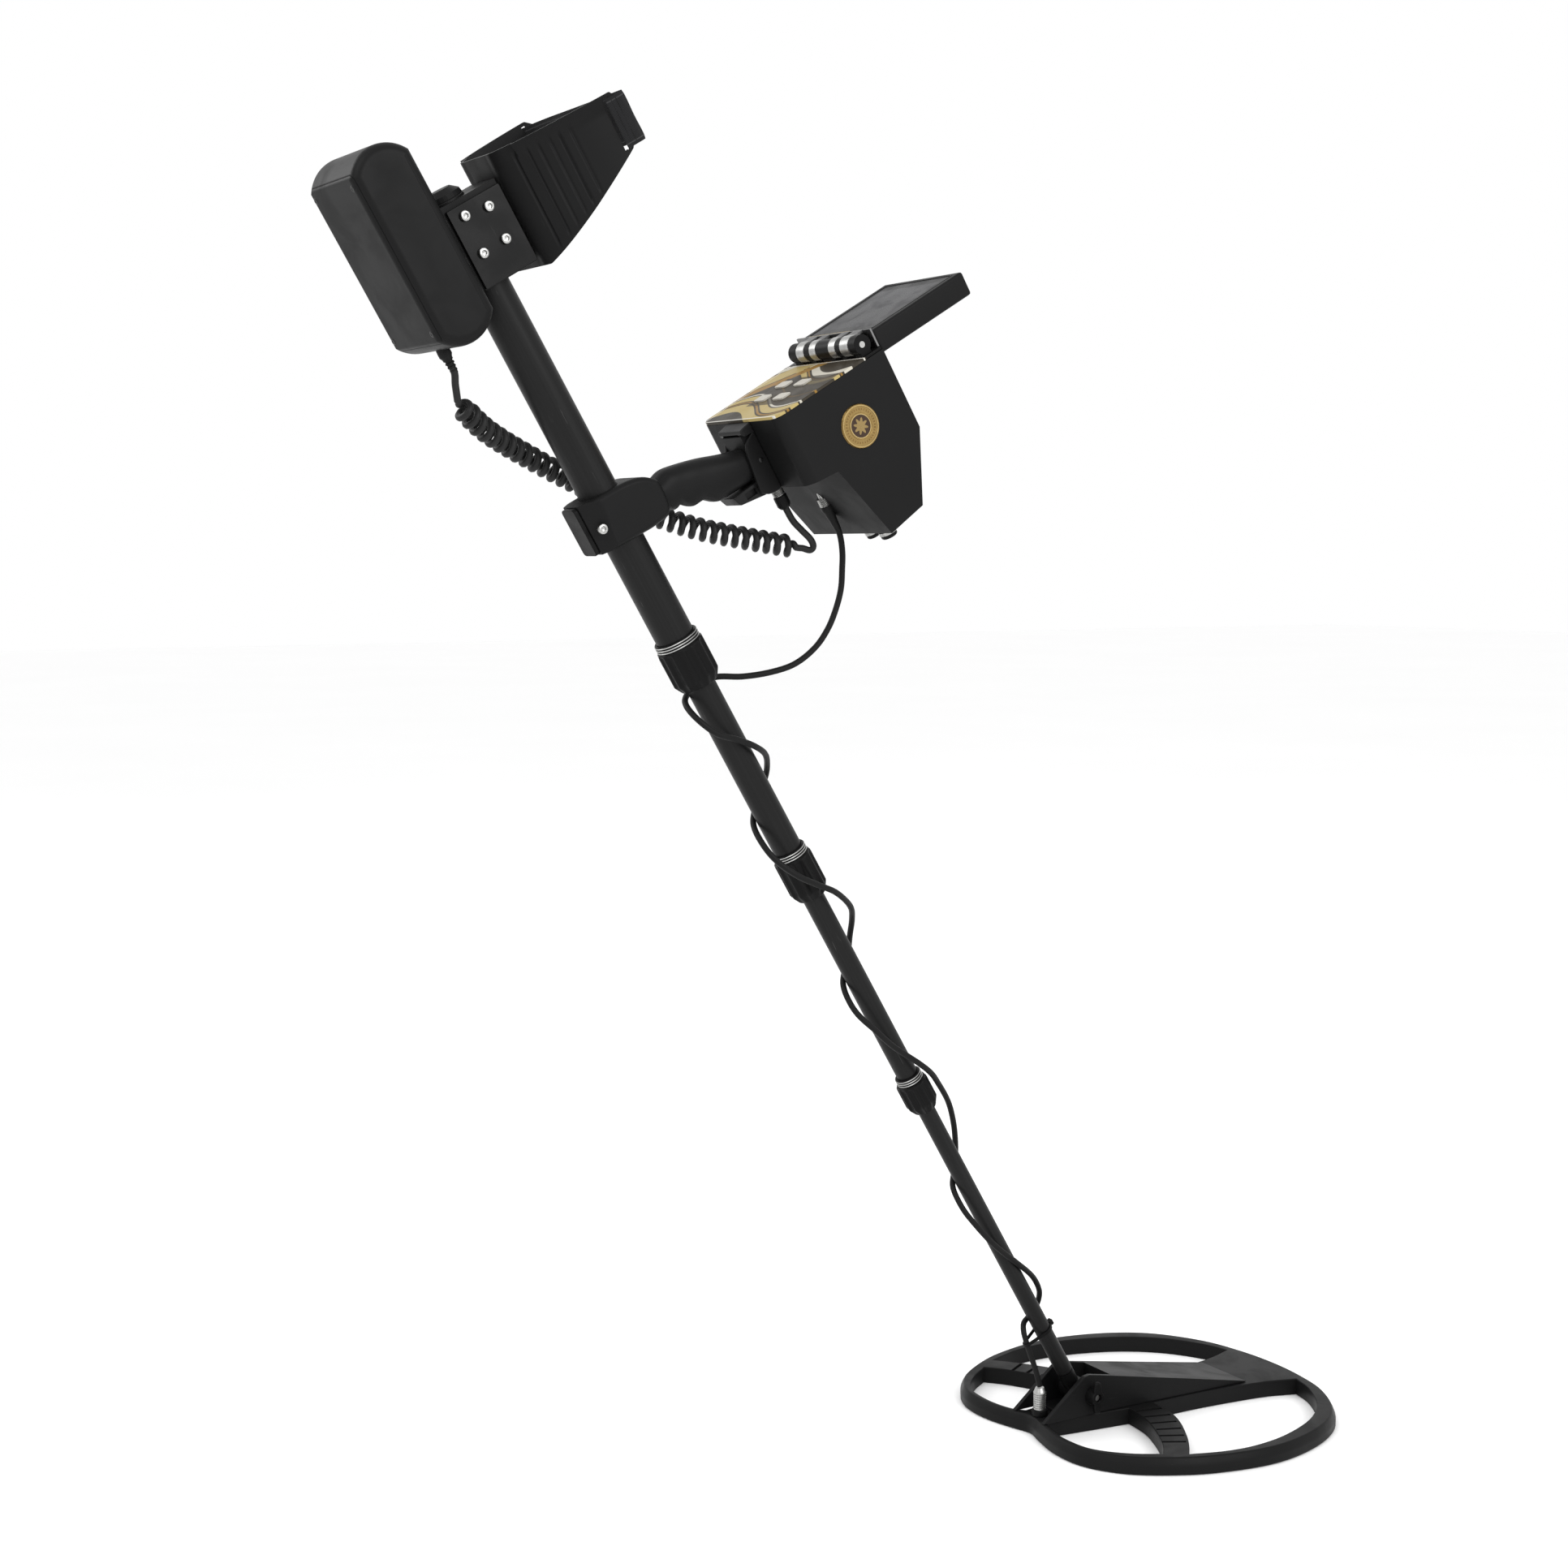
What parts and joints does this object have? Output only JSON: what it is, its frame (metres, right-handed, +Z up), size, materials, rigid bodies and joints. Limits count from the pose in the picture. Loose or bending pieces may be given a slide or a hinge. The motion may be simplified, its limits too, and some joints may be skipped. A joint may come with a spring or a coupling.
{
  "type": "metal detector",
  "caption": "Metal detector: telescopic shaft with arm cuff, battery box, pistol grip, control box with folding display, coiled cord and a tilting open-frame search coil.",
  "frame": {"origin": "middle of the pistol grip, where the hand holds the detector", "axes": "+X forward towards the coil, +Y to the user's left across the shaft, +Z up; the shaft slopes 59.27 degrees below +X"},
  "size_m": [1.1016, 0.4012, 1.3309],
  "materials": {
    "painted_tube": "black anodised, satin",
    "satin_plastic": "black, satin",
    "rubber": "black cable jacket",
    "steel": "bright",
    "gold_foil": "polished foil",
    "display_window": "dark gloss",
    "webbing": "black woven",
    "circuit_board": "green laminate",
    "cell_wrap": "shrink sleeve",
    "key_white": "off-white"
  },
  "bodies": {
    "frame": {"upper_tube": "painted_tube", "upper_tube_plug": "satin_plastic", "bracket_block": "satin_plastic", "bracket_plate_left": "painted_tube", "bracket_plate_right": "painted_tube", "bracket_bolt_1": "steel", "bracket_bolt_2": "steel", "bracket_bolt_3": "steel", "bracket_bolt_4": "steel", "arm_cuff": "satin_plastic", "cuff_strap": "webbing", "battery_case": "satin_plastic", "battery_lid": "satin_plastic", "battery_lid_screw_1": "steel", "battery_lid_screw_2": "steel", "battery_lid_screw_3": "steel", "battery_lid_screw_4": "steel", "battery_cells": "cell_wrap", "battery_gland": "rubber", "grip_half_left": "satin_plastic", "grip_half_right": "satin_plastic", "clamp_rear_cap": "satin_plastic", "clamp_bolt": "steel", "control_housing": "satin_plastic", "keypad_panel": "satin_plastic", "circuit_board": "circuit_board", "grip_socket": "satin_plastic", "medallion": "gold_foil", "power_connector": "steel", "coil_connector": "steel", "headphone_socket": "satin_plastic", "charging_socket": "satin_plastic", "hinge_base": "satin_plastic", "hinge_pin": "steel", "power_cord_gland_lead": "rubber", "power_cord_curl": "rubber", "power_cord_connector_lead": "rubber", "coil_cable_upper": "rubber"},
    "key_1_body": {"key_1": "key_white"},
    "key_2_body": {"key_2": "key_white"},
    "key_3_body": {"key_3": "key_white"},
    "key_4_body": {"key_4": "key_white"},
    "display": {"hinge_leaf": "steel", "display_housing": "satin_plastic", "display_glass": "display_window"},
    "collar_1_body": {"twist_collar_1": "satin_plastic"},
    "second_section": {"second_tube": "painted_tube", "coil_cable_second": "rubber"},
    "collar_2_body": {"twist_collar_2": "satin_plastic"},
    "third_section": {"third_tube": "painted_tube", "coil_cable_third": "rubber"},
    "collar_3_body": {"twist_collar_3": "satin_plastic"},
    "lower_section": {"lower_tube": "painted_tube", "lower_lug": "satin_plastic", "coil_cable_lower": "rubber"},
    "coil": {"coil_shell": "satin_plastic", "coil_yoke": "satin_plastic", "pivot_bolt": "steel", "coil_plug": "steel"},
    "wing_nut_body": {"pivot_wing_nut": "satin_plastic"}
  },
  "joints": [
    {"name": "key_1_press", "type": "slide", "parent": "frame", "child": "key_1_body", "axis": [0.511, 0, -0.8596], "range_m": [0, 0.0008], "stiffness_N_per_m": 600, "springref_m": -0.0003},
    {"name": "key_2_press", "type": "slide", "parent": "frame", "child": "key_2_body", "axis": [0.511, 0, -0.8596], "range_m": [0, 0.0008], "stiffness_N_per_m": 600, "springref_m": -0.0003},
    {"name": "key_3_press", "type": "slide", "parent": "frame", "child": "key_3_body", "axis": [0.511, 0, -0.8596], "range_m": [0, 0.0008], "stiffness_N_per_m": 600, "springref_m": -0.0003},
    {"name": "key_4_press", "type": "slide", "parent": "frame", "child": "key_4_body", "axis": [0.511, 0, -0.8596], "range_m": [0, 0.0008], "stiffness_N_per_m": 600, "springref_m": -0.0003},
    {"name": "display_fold", "type": "hinge", "parent": "frame", "child": "display", "pos_m": [0.14167, 0, 0.12959], "axis": [0, -1, 0], "range_deg": [0, 180]},
    {"name": "collar_1_twist", "type": "hinge", "parent": "frame", "child": "collar_1_body", "pos_m": [-0.01217, 0, -0.16545], "axis": [0.511, 0, -0.8596], "range_deg": [0, 90]},
    {"name": "second_slide", "type": "slide", "parent": "frame", "child": "second_section", "axis": [0.511, 0, -0.8596], "range_m": [-0.18, 0], "deforming": ["coil_cable_upper"]},
    {"name": "collar_2_twist", "type": "hinge", "parent": "second_section", "child": "collar_2_body", "pos_m": [0.11226, 0, -0.37476], "axis": [0.511, 0, -0.8596], "range_deg": [0, 90]},
    {"name": "third_slide", "type": "slide", "parent": "second_section", "child": "third_section", "axis": [0.511, 0, -0.8596], "range_m": [-0.21, 0], "deforming": ["coil_cable_second"]},
    {"name": "collar_3_twist", "type": "hinge", "parent": "third_section", "child": "collar_3_body", "pos_m": [0.251, 0, -0.60813], "axis": [0.511, 0, -0.8596], "range_deg": [0, 90]},
    {"name": "lower_slide", "type": "slide", "parent": "third_section", "child": "lower_section", "axis": [0.511, 0, -0.8596], "range_m": [-0.24, 0], "deforming": ["coil_cable_third"]},
    {"name": "coil_tilt", "type": "hinge", "parent": "lower_section", "child": "coil", "pos_m": [0.4605, 0, -0.9565], "axis": [0, 1, 0], "range_deg": [-60, 30], "deforming": ["coil_cable_lower"]},
    {"name": "wing_nut_turn", "type": "hinge", "parent": "coil", "child": "wing_nut_body", "pos_m": [0.4605, -0.033, -0.9565], "axis": [0, 1, 0], "continuous": true}
  ]
}
